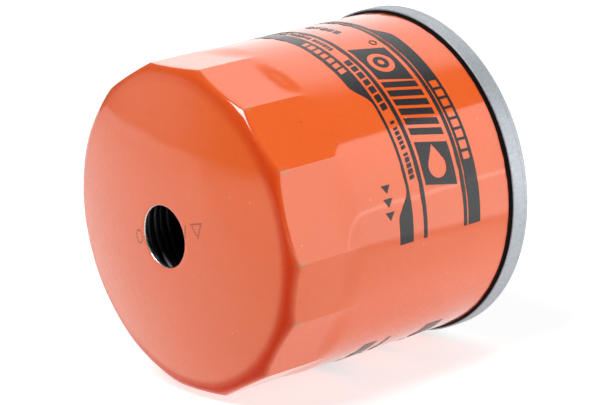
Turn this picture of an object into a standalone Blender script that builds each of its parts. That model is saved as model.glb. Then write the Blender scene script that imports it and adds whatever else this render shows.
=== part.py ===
"""Spin-on oil filter, modelled as the pieces that it is assembled from.

The filter lies on its side. Its axis is the Y axis: the sealing side looks along +Y and the domed
end along -Y. The origin is the centre of the gasket's sealing face. Each piece is modelled upright,
with z as the depth behind the sealing face, and the assembly's empty lays them all down together.
Lengths are in millimetres, and MM turns them into metres.
"""
import math

import bmesh
import bpy
from mathutils import Matrix, Vector

MM = 0.001
GAP = 0.3  # clearance between pieces that touch
TAU = math.tau

# The outside of the filter.
GASKET_PROUD = 1.2  # how far the gasket stands out of the seam
HEIGHT = 65.66  # from the seam's outer face to the top of the dome
SEAM_R = 34.0
SEAM_DEPTH = 4.0
CAN_R = 33.23
SHEET = 0.6  # canister and lid thickness
SEAM_Z = GASKET_PROUD
APEX_Z = SEAM_Z + HEIGHT

# The wrench end: fourteen flats that fade into the round wall.
FLATS = 14
ACROSS_FLATS = 65.0
APOTHEM = ACROSS_FLATS / 2
FLAT_END_Z = SEAM_Z + 42.5  # the wall is round up to here
FLAT_FULL_Z = SEAM_Z + 48.5  # and flat from here on
DOME_R = 112.0  # radius of the domed end
SHOULDER_R = 4.0  # fillet between the flats and the dome
SHOULDER_OUT_R = 33.89  # its widest circle, which the flats cut off
DOME_HOLE_R = 6.17

# The base: lid, tapping plate and gasket.
GROOVE_OUT_R = 31.55
GROOVE_IN_R = 26.95
GROOVE_FLOOR_Z = 4.4
LID_HOLE_R = 24.0
LID_FACE_Z = 2.4
PLATE_R = 26.1
PLATE_Z = (3.25, 6.25)
COLLAR_R = 12.0
COLLAR_TOP_Z = 14.0
BORE_R = 9.19  # minor radius of the M20 x 1.5 thread
BORE_CHAMFER = 0.9
INLETS = 8
INLET_R = 3.0
INLET_CIRCLE_R = 18.2
VALVE_FLAP_R = 23.0
VALVE_SLEEVE_R = 13.6
VALVE_TOP_Z = 12.0
VALVE_FLAP_THICK = 1.2

# The element: centre tube, pleated paper and two end discs.
END_DISC_R = 30.0
END_DISC_THICK = 0.5
END_FLANGE = 3.0
ELEMENT_Z = 15.6  # outer face of the lower end disc
ELEMENT_TOP_Z = 51.2  # outer face of the upper end disc
ADHESIVE = 1.2
ADHESIVE_OUT_R = END_DISC_R - END_DISC_THICK - GAP
TUBE_R = (11.2, 11.8)
TUBE_ROWS = 5
TUBE_HOLES_PER_ROW = 6
TUBE_HOLE_R = 1.7
PLEATS = 36
PLEAT_R = (12.9, 28.4)
PLEAT_TIP = 0.5  # half width of a fold
PAPER = 0.7
CLIP_R = (23.6, 28.6)
CLIP_WIDTH = 1.3

# The bypass valve, inside the upper end of the centre tube.
BYPASS_HOLE_R = 6.0
POPPET_R = 8.8
POPPET_Z = (48.3, 49.1)
STEM_R = 2.0
STEM_TIP_Z = 41.0
CAGE_R = (9.6, 10.2)
CAGE_Z = 37.5
CAGE_HOLE_R = 3.2
CAGE_WINDOWS = 4
CAGE_WINDOW = (6.0, 6.5)  # width and height
BYPASS_COIL_R = 4.7
BYPASS_WIRE_R = 0.45
BYPASS_TURNS = 5.0

# The load spring, between the element and the dome.
SEAT_R = (8.0, 17.2)
SEAT_LIP = 1.6
LOAD_COIL_R = (14.6, 9.6)
LOAD_WIRE_R = 1.0
LOAD_TURNS = 3.0

WIDE_STEPS = 4 * FLATS
NARROW_STEPS = 40


def clear_scene():
    for thing in list(bpy.data.objects):
        bpy.data.objects.remove(thing, do_unlink=True)


def collection(name):
    made = bpy.data.collections.new(name)
    bpy.context.scene.collection.children.link(made)
    return made


clear_scene()
FILTER = collection("oil_filter")
CUTTERS = collection("cutters")
AXIS = bpy.data.objects.new("filter_axis", None)
AXIS.rotation_euler = (math.pi / 2, 0, 0)
FILTER.objects.link(AXIS)


def finish(name, colour, roughness, metallic=0.0):
    """A plain material with one colour."""
    made = bpy.data.materials.new(name)
    made.use_nodes = True
    shader = made.node_tree.nodes["Principled BSDF"]
    shader.inputs["Base Color"].default_value = (*colour, 1)
    shader.inputs["Roughness"].default_value = roughness
    shader.inputs["Metallic"].default_value = metallic
    return made


ENAMEL = finish("orange_enamel", (0.79, 0.13, 0.035), 0.28)
ZINC = finish("zinc_coated_steel", (0.55, 0.57, 0.59), 0.38, 1.0)
STEEL = finish("bare_steel", (0.42, 0.42, 0.43), 0.4, 1.0)
SPRING_STEEL = finish("spring_steel", (0.25, 0.25, 0.27), 0.35, 1.0)
RUBBER = finish("black_rubber", (0.02, 0.02, 0.022), 0.6)
COMPOUND = finish("seam_sealant", (0.16, 0.17, 0.18), 0.7)
PAPER_FINISH = finish("filter_paper", (0.72, 0.6, 0.36), 0.9)
GLUE = finish("end_adhesive", (0.5, 0.33, 0.12), 0.55)


def piece(name, mesh, material, group=FILTER):
    """A named object on the filter's axis."""
    made = bpy.data.objects.new(name, mesh)
    made.parent = AXIS
    if material:
        mesh.materials.append(material)
    group.objects.link(made)
    return made


def turned(name, profile, material, steps=NARROW_STEPS):
    """A closed outline of (radius, z) points, turned about the axis. It runs down its outer side."""
    mesh = bpy.data.meshes.new(name)
    count = len(profile)
    corners = [(r * MM, 0, z * MM) for r, z in profile]
    edges = [(i, (i + 1) % count) for i in range(count)]
    if profile[0][0] == 0 and profile[-1][0] == 0:
        edges.pop()
    mesh.from_pydata(corners, edges, [])
    made = piece(name, mesh, material)
    screw = made.modifiers.new("turn", "SCREW")
    screw.steps = steps
    screw.render_steps = steps
    screw.use_merge_vertices = True
    screw.merge_threshold = 0.00001
    screw.use_smooth_shade = False
    return made


def ring(name, radii, heights, material, steps=NARROW_STEPS):
    """A ring of square section."""
    (inner, outer), (low, high) = radii, heights
    outline = [(outer, high), (outer, low), (inner, low), (inner, high)]
    return turned(name, outline, material, steps)


def cutter(name, mesh):
    made = piece(name, mesh, None, CUTTERS)
    made.hide_render = True
    made.display_type = "WIRE"
    return made


def cut(target, tool):
    boolean = target.modifiers.new("cut", "BOOLEAN")
    boolean.operation = "DIFFERENCE"
    boolean.solver = "EXACT"
    boolean.object = tool


def drill_mesh(name, radius, length, places, sides=12):
    """One mesh of separate cylinders, each along the z axis of its matrix."""
    shape = bmesh.new()
    for place in places:
        bmesh.ops.create_cone(
            shape,
            cap_ends=True,
            segments=sides,
            radius1=radius * MM,
            radius2=radius * MM,
            depth=length * MM,
            matrix=place,
        )
    mesh = bpy.data.meshes.new(name)
    shape.to_mesh(mesh)
    shape.free()
    return mesh


def at(radius, angle, z):
    return Vector((radius * math.cos(angle), radius * math.sin(angle), z)) * MM


def wrench_radius(angle):
    """Distance from the axis to the outline of the fourteen flats. One flat faces straight down."""
    pitch = TAU / FLATS
    off = (angle + math.pi / 2 + pitch / 2) % pitch - pitch / 2
    return APOTHEM / math.cos(off)


def flat_share(z):
    """0 where the wall is round, 1 where it is flat, and smooth between."""
    t = min(1.0, max(0.0, (z - FLAT_END_Z) / (FLAT_FULL_Z - FLAT_END_Z)))
    return t * t * (3 - 2 * t)


def dome_profile():
    """(radius, z) from the flats' corners over the shoulder and the dome to the edge of its hole."""
    centre_r = SHOULDER_OUT_R - SHOULDER_R
    dome_z = APEX_Z - DOME_R
    centre_z = dome_z + math.sqrt((DOME_R - SHOULDER_R) ** 2 - centre_r**2)
    start = math.acos((APOTHEM / math.cos(math.pi / FLATS) - centre_r) / SHOULDER_R)
    end = math.atan2(centre_z - dome_z, centre_r)
    fillet = [start + (end - start) * step / 5 for step in range(6)]
    points = [
        (centre_r + SHOULDER_R * math.cos(a), centre_z + SHOULDER_R * math.sin(a))
        for a in fillet
    ]
    for radius in (26.0, 20.0, 13.0, DOME_HOLE_R):
        points.append((radius, dome_z + math.sqrt(DOME_R**2 - radius**2)))
    return points


def canister():
    """The drawn can: a loft from a round wall to fourteen flats, closed by a dome with a hole."""
    edge_z = SEAM_Z + SHEET + 1.35
    wall = [edge_z, FLAT_END_Z, FLAT_END_Z + 2, FLAT_FULL_Z - 2, FLAT_FULL_Z]
    levels = [(CAN_R, z) for z in wall] + dome_profile()
    angles = [TAU * (i / WIDE_STEPS) - math.pi / 2 for i in range(WIDE_STEPS)]
    shape = bmesh.new()
    rows = []
    for index, (limit, z) in enumerate(levels):
        row = []
        for angle in angles:
            flat = wrench_radius(angle)
            if index < len(wall):
                radius = CAN_R + (flat - CAN_R) * flat_share(z)
            else:
                radius = min(flat, limit)
            row.append(shape.verts.new(at(radius, angle, z)))
        rows.append(row)
    for below, above in zip(rows, rows[1:]):
        for i in range(WIDE_STEPS):
            j = (i + 1) % WIDE_STEPS
            shape.faces.new((below[i], below[j], above[j], above[i]))
    mesh = bpy.data.meshes.new("canister")
    shape.to_mesh(mesh)
    shape.free()
    made = piece("canister", mesh, ENAMEL)
    shell = made.modifiers.new("sheet", "SOLIDIFY")
    shell.thickness = SHEET * MM
    shell.offset = -1
    shell.use_even_offset = True
    return made


def seam_lid():
    """The pressed lid: seam channel around the can's edge, gasket groove and inner flange."""
    t = SHEET
    channel_in_r = CAN_R - SHEET - GAP
    outline = [
        (SEAM_R - t * 0.75, SEAM_Z + SEAM_DEPTH),
        (SEAM_R, SEAM_Z + SEAM_DEPTH - 0.25),
        (SEAM_R, SEAM_Z + 0.5),
        (SEAM_R - 0.5, SEAM_Z),
        (GROOVE_OUT_R, SEAM_Z),
        (GROOVE_OUT_R, GROOVE_FLOOR_Z),
        (GROOVE_IN_R, GROOVE_FLOOR_Z),
        (GROOVE_IN_R, LID_FACE_Z),
        (LID_HOLE_R, LID_FACE_Z),
        (LID_HOLE_R, LID_FACE_Z + t),
        (GROOVE_IN_R - t, LID_FACE_Z + t),
        (GROOVE_IN_R - t, GROOVE_FLOOR_Z + t),
        (channel_in_r, GROOVE_FLOOR_Z + t),
        (channel_in_r, SEAM_Z + t),
        (SEAM_R - t * 0.75, SEAM_Z + t),
    ]
    turned("seam_lid", outline, ZINC, WIDE_STEPS)


def seam_compound():
    """The sealant bead between the can's edge and the bottom of the seam channel."""
    radii = (CAN_R - SHEET, CAN_R)
    heights = (SEAM_Z + SHEET + GAP, SEAM_Z + SHEET + 1.35 - GAP)
    ring("seam_compound", radii, heights, COMPOUND, WIDE_STEPS)


def gasket():
    """The sealing ring in the lid's groove, with rounded outer edges."""
    inner, outer = GROOVE_IN_R + GAP, GROOVE_OUT_R - GAP
    top = GROOVE_FLOOR_Z - GAP
    soft = 0.4
    outline = [
        (outer, top),
        (outer, soft),
        (outer - soft, 0),
        (inner + soft, 0),
        (inner, soft),
        (inner, top),
    ]
    turned("gasket", outline, RUBBER, WIDE_STEPS)


def tapping_plate():
    """The thick plate with its drawn collar, bore and ring of inlet holes."""
    low, high = PLATE_Z
    outline = [
        (COLLAR_R, COLLAR_TOP_Z),
        (COLLAR_R, high),
        (PLATE_R, high),
        (PLATE_R, low),
        (BORE_R + BORE_CHAMFER, low),
        (BORE_R, low + BORE_CHAMFER),
        (BORE_R, COLLAR_TOP_Z),
    ]
    plate = turned("tapping_plate", outline, STEEL)
    places = [
        Matrix.Translation(at(INLET_CIRCLE_R, TAU * i / INLETS, (low + high) / 2))
        for i in range(INLETS)
    ]
    drills = drill_mesh("inlet_drills", INLET_R, 3 * (high - low), places, 16)
    cut(plate, cutter("inlet_drills", drills))


def anti_drainback_valve():
    """The rubber valve: a sleeve around the collar and a flap over the inlet holes."""
    low = PLATE_Z[1] + GAP
    bore = COLLAR_R + GAP
    outline = [
        (VALVE_SLEEVE_R, VALVE_TOP_Z),
        (VALVE_SLEEVE_R, low + 1.8 * VALVE_FLAP_THICK),
        (VALVE_SLEEVE_R + 1.6, low + VALVE_FLAP_THICK),
        (VALVE_FLAP_R, low + 0.6 * VALVE_FLAP_THICK),
        (VALVE_FLAP_R, low),
        (bore, low),
        (bore, VALVE_TOP_Z),
    ]
    turned("anti_drainback_valve", outline, RUBBER)


def element_seal():
    """The washer that seals the element on the end of the collar."""
    heights = (COLLAR_TOP_Z + GAP, ELEMENT_Z - GAP)
    ring("element_seal", (BORE_R + 0.7, COLLAR_R), heights, RUBBER)


def end_disc(name, hole_r, outer_z, side):
    """A pressed disc whose flange holds the adhesive. side is 1 where the flange points up."""
    t = END_DISC_THICK
    face, back, lip = outer_z, outer_z + side * t, outer_z + side * END_FLANGE
    outline = [
        (hole_r, face),
        (END_DISC_R, face),
        (END_DISC_R, lip),
        (END_DISC_R - t, lip),
        (END_DISC_R - t, back),
        (hole_r, back),
    ]
    if side > 0:
        outline.reverse()
    turned(name, outline, STEEL)


def element_discs():
    end_disc("lower_end_disc", TUBE_R[0] - 0.8, ELEMENT_Z, 1)
    end_disc("upper_end_disc", BYPASS_HOLE_R, ELEMENT_TOP_Z, -1)


def element_span():
    """The heights between the two end discs."""
    low = ELEMENT_Z + END_DISC_THICK + GAP
    high = ELEMENT_TOP_Z - END_DISC_THICK - GAP
    return low, high


def adhesives():
    low, high = element_span()
    radii = (TUBE_R[1] + GAP, ADHESIVE_OUT_R)
    ring("lower_adhesive", radii, (low, low + ADHESIVE), GLUE)
    ring("upper_adhesive", radii, (high - ADHESIVE, high), GLUE)


def center_tube():
    """The perforated tube that carries the paper. Its rows of holes are staggered."""
    low, high = element_span()
    tube = ring("center_tube", TUBE_R, (low, high), STEEL, 36)
    rise = (high - low) / (TUBE_ROWS + 1)
    places = []
    for row in range(TUBE_ROWS):
        for i in range(TUBE_HOLES_PER_ROW):
            angle = TAU * (i + 0.5 * (row % 2)) / TUBE_HOLES_PER_ROW
            middle = at(sum(TUBE_R) / 2, angle, low + (row + 1) * rise)
            turn = Matrix.Rotation(angle, 4, "Z") @ Matrix.Rotation(math.pi / 2, 4, "Y")
            places.append(Matrix.Translation(middle) @ turn)
    drills = drill_mesh("tube_drills", TUBE_HOLE_R, 3.0, places, 8)
    cut(tube, cutter("tube_drills", drills))


def pleated_media():
    """One band of folded paper around the tube."""
    low, high = element_span()
    bottom, top = low + ADHESIVE + GAP, high - ADHESIVE - GAP
    folds = []
    for i in range(2 * PLEATS):
        angle = TAU * i / (2 * PLEATS)
        radius = PLEAT_R[i % 2]
        side = PLEAT_TIP / radius
        folds += [(radius, angle - side), (radius, angle + side)]
    count = len(folds)
    corners = [at(r, a, z) for z in (bottom, top) for r, a in folds]
    walls = [(i, (i + 1) % count, (i + 1) % count + count, i + count) for i in range(count)]
    mesh = bpy.data.meshes.new("pleated_media")
    mesh.from_pydata(corners, [], walls)
    made = piece("pleated_media", mesh, PAPER_FINISH)
    band = made.modifiers.new("paper", "SOLIDIFY")
    band.thickness = PAPER * MM
    band.offset = 0
    band.use_even_offset = True


def pleat_clip():
    """The folded metal strip that joins the two ends of the paper, between two outer folds."""
    low, high = element_span()
    bottom, top = low + ADHESIVE + GAP, high - ADHESIVE - GAP
    wall = 0.35
    half = CLIP_WIDTH / 2
    inner, outer = CLIP_R
    # The strip's section is a U that opens towards the axis.
    section = [
        (outer, -half),
        (outer, half),
        (inner, half),
        (inner, half - wall),
        (outer - wall, half - wall),
        (outer - wall, wall - half),
        (inner, wall - half),
        (inner, -half),
    ]
    shape = bmesh.new()
    corners = [shape.verts.new((x * MM, y * MM, bottom * MM)) for x, y in section]
    face = shape.faces.new(corners)
    grown = bmesh.ops.extrude_face_region(shape, geom=[face])
    tops = [part for part in grown["geom"] if isinstance(part, bmesh.types.BMVert)]
    bmesh.ops.translate(shape, verts=tops, vec=(0, 0, (top - bottom) * MM))
    bmesh.ops.recalc_face_normals(shape, faces=shape.faces)
    mesh = bpy.data.meshes.new("pleat_clip")
    shape.to_mesh(mesh)
    shape.free()
    piece("pleat_clip", mesh, STEEL)


def bypass_poppet():
    """The bypass valve's plate, with a boss in its seat hole and a stem that guides the spring."""
    low, high = POPPET_Z
    outline = [
        (0, ELEMENT_TOP_Z - 0.3),
        (BYPASS_HOLE_R - 0.7, ELEMENT_TOP_Z - 0.3),
        (BYPASS_HOLE_R - 0.4, high),
        (POPPET_R, high),
        (POPPET_R, low),
        (STEM_R, low),
        (STEM_R, STEM_TIP_Z + 0.5),
        (STEM_R - 0.5, STEM_TIP_Z),
        (0, STEM_TIP_Z),
    ]
    turned("bypass_poppet", outline, STEEL)


def bypass_seal():
    """The rubber ring on the poppet, which closes on the upper end disc."""
    heights = (POPPET_Z[1] + GAP, ELEMENT_TOP_Z - END_DISC_THICK - GAP)
    ring("bypass_seal", (BYPASS_HOLE_R - 0.1, POPPET_R), heights, RUBBER)


def bypass_cage():
    """The cup that holds the bypass spring, with windows for the oil."""
    inner, outer = CAGE_R
    wall = outer - inner
    top = ELEMENT_TOP_Z - END_DISC_THICK - GAP
    outline = [
        (outer, top),
        (outer, CAGE_Z),
        (CAGE_HOLE_R, CAGE_Z),
        (CAGE_HOLE_R, CAGE_Z + wall),
        (inner, CAGE_Z + wall),
        (inner, top),
    ]
    cage = turned("bypass_cage", outline, STEEL, 32)
    width, height = CAGE_WINDOW
    shape = bmesh.new()
    for i in range(CAGE_WINDOWS):
        turn = Matrix.Rotation(TAU * (i + 0.5) / CAGE_WINDOWS, 4, "Z")
        place = turn @ Matrix.Translation(Vector((outer, 0, CAGE_Z + 6.2)) * MM)
        size = Matrix.Diagonal((4 * MM, width * MM, height * MM, 1))
        bmesh.ops.create_cube(shape, size=1, matrix=place @ size)
    mesh = bpy.data.meshes.new("cage_windows")
    shape.to_mesh(mesh)
    shape.free()
    cut(cage, cutter("cage_windows", mesh))


def coil(name, radii, heights, wire_r, turns, material, per_turn=14):
    """A compression spring between two heights, with one flat turn at each end."""
    low, high = heights[0] + wire_r, heights[1] - wire_r
    pitch = 2.15 * wire_r
    count = int(turns * per_turn)
    points = []
    for i in range(count + 1):
        turn = turns * i / count
        climb = (turn - 1) / (turns - 2)
        if turn < 1:
            z = low + pitch * turn
        elif turn > turns - 1:
            z = high - pitch * (turns - turn)
        else:
            z = low + pitch + (high - low - 2 * pitch) * climb
        radius = radii[0] + (radii[1] - radii[0]) * min(1, max(0, climb))
        points.append(at(radius, TAU * turn, z))
    curve = bpy.data.curves.new(name, "CURVE")
    curve.dimensions = "3D"
    curve.bevel_depth = wire_r * MM
    curve.bevel_resolution = 2
    curve.use_fill_caps = True
    spline = curve.splines.new("POLY")
    spline.points.add(count)
    for point, place in zip(spline.points, points):
        point.co = (*place, 1)
    curve.materials.append(material)
    made = bpy.data.objects.new(name, curve)
    made.parent = AXIS
    FILTER.objects.link(made)


def springs():
    floor = CAGE_Z + CAGE_R[1] - CAGE_R[0] + GAP
    heights = (floor, POPPET_Z[0] - GAP)
    radii = (BYPASS_COIL_R, BYPASS_COIL_R)
    coil("bypass_spring", radii, heights, BYPASS_WIRE_R, BYPASS_TURNS, SPRING_STEEL)
    seat_top = ELEMENT_TOP_Z + GAP + SHEET
    sag = LOAD_COIL_R[1] ** 2 / (2 * DOME_R)
    ceiling = APEX_Z - SHEET - sag - 2 * GAP
    heights = (seat_top + GAP, ceiling)
    coil("load_spring", LOAD_COIL_R, heights, LOAD_WIRE_R, LOAD_TURNS + 1, SPRING_STEEL)


def spring_seat():
    """The pressed ring on the element that centres the load spring."""
    inner, outer = SEAT_R
    low = ELEMENT_TOP_Z + GAP
    outline = [
        (outer, low + SEAT_LIP + SHEET),
        (outer, low),
        (inner, low),
        (inner, low + SHEET),
        (outer - SHEET, low + SHEET),
        (outer - SHEET, low + SEAT_LIP + SHEET),
    ]
    turned("spring_seat", outline, STEEL)


canister()
seam_lid()
seam_compound()
gasket()
tapping_plate()
anti_drainback_valve()
element_seal()
element_discs()
adhesives()
center_tube()
pleated_media()
pleat_clip()
bypass_poppet()
bypass_seal()
bypass_cage()
springs()
spring_seat()
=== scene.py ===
"""The looks of the spin-on oil filter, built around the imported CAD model.

The filter lies along the Y axis: the sealing side looks along +Y and the domed end along -Y. Most
shapes are worked out as (radius, depth), with the depth measured from the gasket's sealing face
towards the dome. Lengths are in millimetres, and MM turns them into metres.
"""
import math
import random

import bmesh
import bpy
from mathutils import Euler, Matrix, Vector


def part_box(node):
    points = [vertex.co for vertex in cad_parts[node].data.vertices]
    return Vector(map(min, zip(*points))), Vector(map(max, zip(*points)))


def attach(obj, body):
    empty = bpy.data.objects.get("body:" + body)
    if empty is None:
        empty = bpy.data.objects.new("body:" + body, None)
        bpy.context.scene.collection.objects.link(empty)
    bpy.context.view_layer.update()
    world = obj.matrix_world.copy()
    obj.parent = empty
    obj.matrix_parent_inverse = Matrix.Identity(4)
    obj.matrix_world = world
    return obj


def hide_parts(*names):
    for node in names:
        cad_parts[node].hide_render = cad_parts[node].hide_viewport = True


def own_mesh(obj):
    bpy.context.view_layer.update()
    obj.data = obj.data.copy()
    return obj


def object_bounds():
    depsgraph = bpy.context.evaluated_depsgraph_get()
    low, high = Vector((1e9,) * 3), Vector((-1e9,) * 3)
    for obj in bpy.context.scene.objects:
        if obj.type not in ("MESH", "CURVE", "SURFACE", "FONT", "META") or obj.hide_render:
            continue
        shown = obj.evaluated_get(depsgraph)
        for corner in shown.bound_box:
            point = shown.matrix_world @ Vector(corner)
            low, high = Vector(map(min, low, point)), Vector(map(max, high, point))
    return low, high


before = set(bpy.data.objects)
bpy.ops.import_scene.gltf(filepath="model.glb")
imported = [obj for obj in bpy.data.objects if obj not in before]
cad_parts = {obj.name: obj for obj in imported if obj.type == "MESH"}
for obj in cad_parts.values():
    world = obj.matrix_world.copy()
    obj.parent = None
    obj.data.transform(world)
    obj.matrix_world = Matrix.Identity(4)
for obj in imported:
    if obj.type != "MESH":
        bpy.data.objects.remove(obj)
CAD_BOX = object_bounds()

MM = 0.001
TAU = math.tau


def node_span(node):
    """(inner depth, outer depth, radius) of a CAD node in millimetres; the outer one is at the base."""
    low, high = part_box(node)
    return -high[1] / MM, -low[1] / MM, max(high[0], high[2]) / MM


# Sizes that the frame gives.
SEAM_Z, SEAM_LIP_Z, SEAM_R = 1.2, node_span("seam_lid")[1], node_span("seam_lid")[2]
APEX_Z = node_span("canister")[1]
PLATE_LOW, COLLAR_TOP, PLATE_R = node_span("tapping_plate")
GASKET_OUT_R = node_span("gasket")[2]
ELEMENT_LOW = node_span("lower_end_disc")[0]
ELEMENT_TOP = node_span("upper_end_disc")[1]

# The can.
CAN_R = 33.23
SHEET = 0.6
FLATS = 14
APOTHEM = 32.5
FLAT_END_Z = SEAM_Z + 43.6
FLAT_FULL_Z = SEAM_Z + 49.0
DOME_R = 112.0
SHOULDER_R = 4.0
SHOULDER_OUT_R = 33.89
DOME_HOLE_R = 6.17
CORNER_R = APOTHEM / math.cos(math.pi / FLATS)
CORNER_SOFT = 0.016  # how gently one flat passes into the next
EDGE_SOFT = 0.5  # rounding where a flat meets the shoulder
SHADE_SIDE = math.radians(-35)  # the painted shade is strongest on this side
SHADE_EDGE, SHADE_DOME = 0.6, 0.86  # share of painted shade at the flats' edge and at the dome's

# The print. Angles are in degrees round the axis, from +X towards +Z.
PRINT_TURN = 7.9
PRINT_SPAN = (-14.85, 120.0)
INK = 0.03


# ---------------------------------------------------------------- mesh tools


def point(radius, angle, depth):
    """A point in the row frame from its radius, its angle about the axis and its depth."""
    return Vector((radius * math.cos(angle), -depth, radius * math.sin(angle))) * MM


def add_object(name, mesh, materials, body="housing", sharp=35.0):
    """An object in the scene that rides on a body, with its smooth shading set."""
    made = bpy.data.objects.new(name, mesh)
    bpy.context.scene.collection.objects.link(made)
    for material in materials if isinstance(materials, (list, tuple)) else [materials]:
        mesh.materials.append(material)
    mesh.shade_smooth()
    mesh.set_sharp_from_angle(angle=math.radians(sharp))
    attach(made, body)
    return made


def stand_in(name, node, mesh, material, body="housing", sharp=35.0):
    """An object that takes the place of a CAD node."""
    made = add_object(name, mesh, material, body, sharp)
    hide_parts(node)
    return made


def mesh_from(name, shape):
    """A mesh from a bmesh, with its faces pointing out."""
    bmesh.ops.recalc_face_normals(shape, faces=shape.faces)
    mesh = bpy.data.meshes.new(name)
    shape.to_mesh(mesh)
    shape.free()
    return mesh


def loft(name, columns, paint=None):
    """A closed ring of closed columns. paint gives each row of faces its material's number."""
    shape = bmesh.new()
    grid = [[shape.verts.new(place) for place in column] for column in columns]
    for i, column in enumerate(grid):
        beside = grid[(i + 1) % len(grid)]
        for j in range(len(column)):
            k = (j + 1) % len(column)
            face = shape.faces.new((column[j], beside[j], beside[k], column[k]))
            if paint:
                face.material_index = paint[j]
    return mesh_from(name, shape)


def filleted(outline):
    """A closed outline of (radius, depth, rounding) corners as plain (radius, depth) points."""
    points = []
    count = len(outline)
    for i, corner in enumerate(outline):
        here = Vector(corner[:2])
        rounding = corner[2] if len(corner) > 2 else 0
        if not rounding:
            points.append(here)
            continue
        before = Vector(outline[i - 1][:2]) - here
        after = Vector(outline[(i + 1) % count][:2]) - here
        reach = min(rounding, 0.48 * before.length, 0.48 * after.length)
        first = here + before.normalized() * reach
        last = here + after.normalized() * reach
        for step in range(6):
            t = step / 5
            points.append(first * (1 - t) ** 2 + here * 2 * t * (1 - t) + last * t * t)
    return points


def turned(name, outline, steps=128):
    """A mesh of a closed outline turned about the axis."""
    points = filleted(outline)
    if min(p[0] for p in points) > 0.001:
        columns = [[point(r, TAU * i / steps, z) for r, z in points] for i in range(steps)]
        return loft(name, columns)
    shape = bmesh.new()
    rows = []
    for r, z in points:
        if r < 0.001:
            rows.append([shape.verts.new(point(0, 0, z))] * steps)
        else:
            rows.append([shape.verts.new(point(r, TAU * i / steps, z)) for i in range(steps)])
    for low, high in zip(rows, rows[1:]):
        for i in range(steps):
            j = (i + 1) % steps
            corners = list(dict.fromkeys((low[i], low[j], high[j], high[i])))
            if len(corners) > 2:
                shape.faces.new(corners)
    return mesh_from(name, shape)


def carve(mesh, tool):
    """The mesh with the tool's shape cut out of it. Both are closed."""
    target = bpy.data.objects.new("target", mesh)
    drill = bpy.data.objects.new("drill", tool)
    for thing in (target, drill):
        bpy.context.scene.collection.objects.link(thing)
    cut = target.modifiers.new("cut", "BOOLEAN")
    cut.operation = "DIFFERENCE"
    cut.solver = "EXACT"
    cut.object = drill
    bpy.context.view_layer.update()
    found = target.evaluated_get(bpy.context.evaluated_depsgraph_get())
    made = bpy.data.meshes.new_from_object(found)
    for thing in (target, drill):
        bpy.data.objects.remove(thing)
    return made


def skin(shape, rows):
    """Faces from each row of corners to the next, and a cap on each end."""
    count = len(rows[0])
    for below, above in zip(rows, rows[1:]):
        for i in range(count):
            j = (i + 1) % count
            shape.faces.new((below[i], below[j], above[j], above[i]))
    shape.faces.new(rows[0])
    shape.faces.new(rows[-1])


def joined(name, meshes):
    """Several meshes as one."""
    shape = bmesh.new()
    for mesh in meshes:
        shape.from_mesh(mesh)
        bpy.data.meshes.remove(mesh)
    mesh = bpy.data.meshes.new(name)
    shape.to_mesh(mesh)
    shape.free()
    return mesh


# ---------------------------------------------------------------- materials


class Nodes:
    """Short calls to add nodes to a material's or a light's tree."""

    def __init__(self, owner):
        owner.use_nodes = True
        self.tree = owner.node_tree

    def node(self, kind, **settings):
        made = self.tree.nodes.new(kind)
        for key, value in settings.items():
            setattr(made, key, value)
        return made

    def feed(self, socket, value):
        """Links an output, or sets a plain value."""
        if isinstance(value, bpy.types.NodeSocket):
            self.tree.links.new(value, socket)
        elif isinstance(value, tuple) and len(value) == 3 and socket.type == "RGBA":
            socket.default_value = (*value, 1)
        else:
            socket.default_value = value

    def spread(self, value, low, high, to_low=0.0, to_high=1.0, smooth=False):
        """The value's range from low to high, moved to another range and held at its ends."""
        made = self.node("ShaderNodeMapRange")
        made.interpolation_type = "SMOOTHSTEP" if smooth else "LINEAR"
        self.feed(made.inputs["Value"], value)
        ends = {"From Min": low, "From Max": high, "To Min": to_low, "To Max": to_high}
        for key, number in ends.items():
            made.inputs[key].default_value = number
        return made.outputs["Result"]

    def math(self, operation, a, b=0.0):
        made = self.node("ShaderNodeMath", operation=operation)
        self.feed(made.inputs[0], a)
        self.feed(made.inputs[1], b)
        return made.outputs[0]


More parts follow.
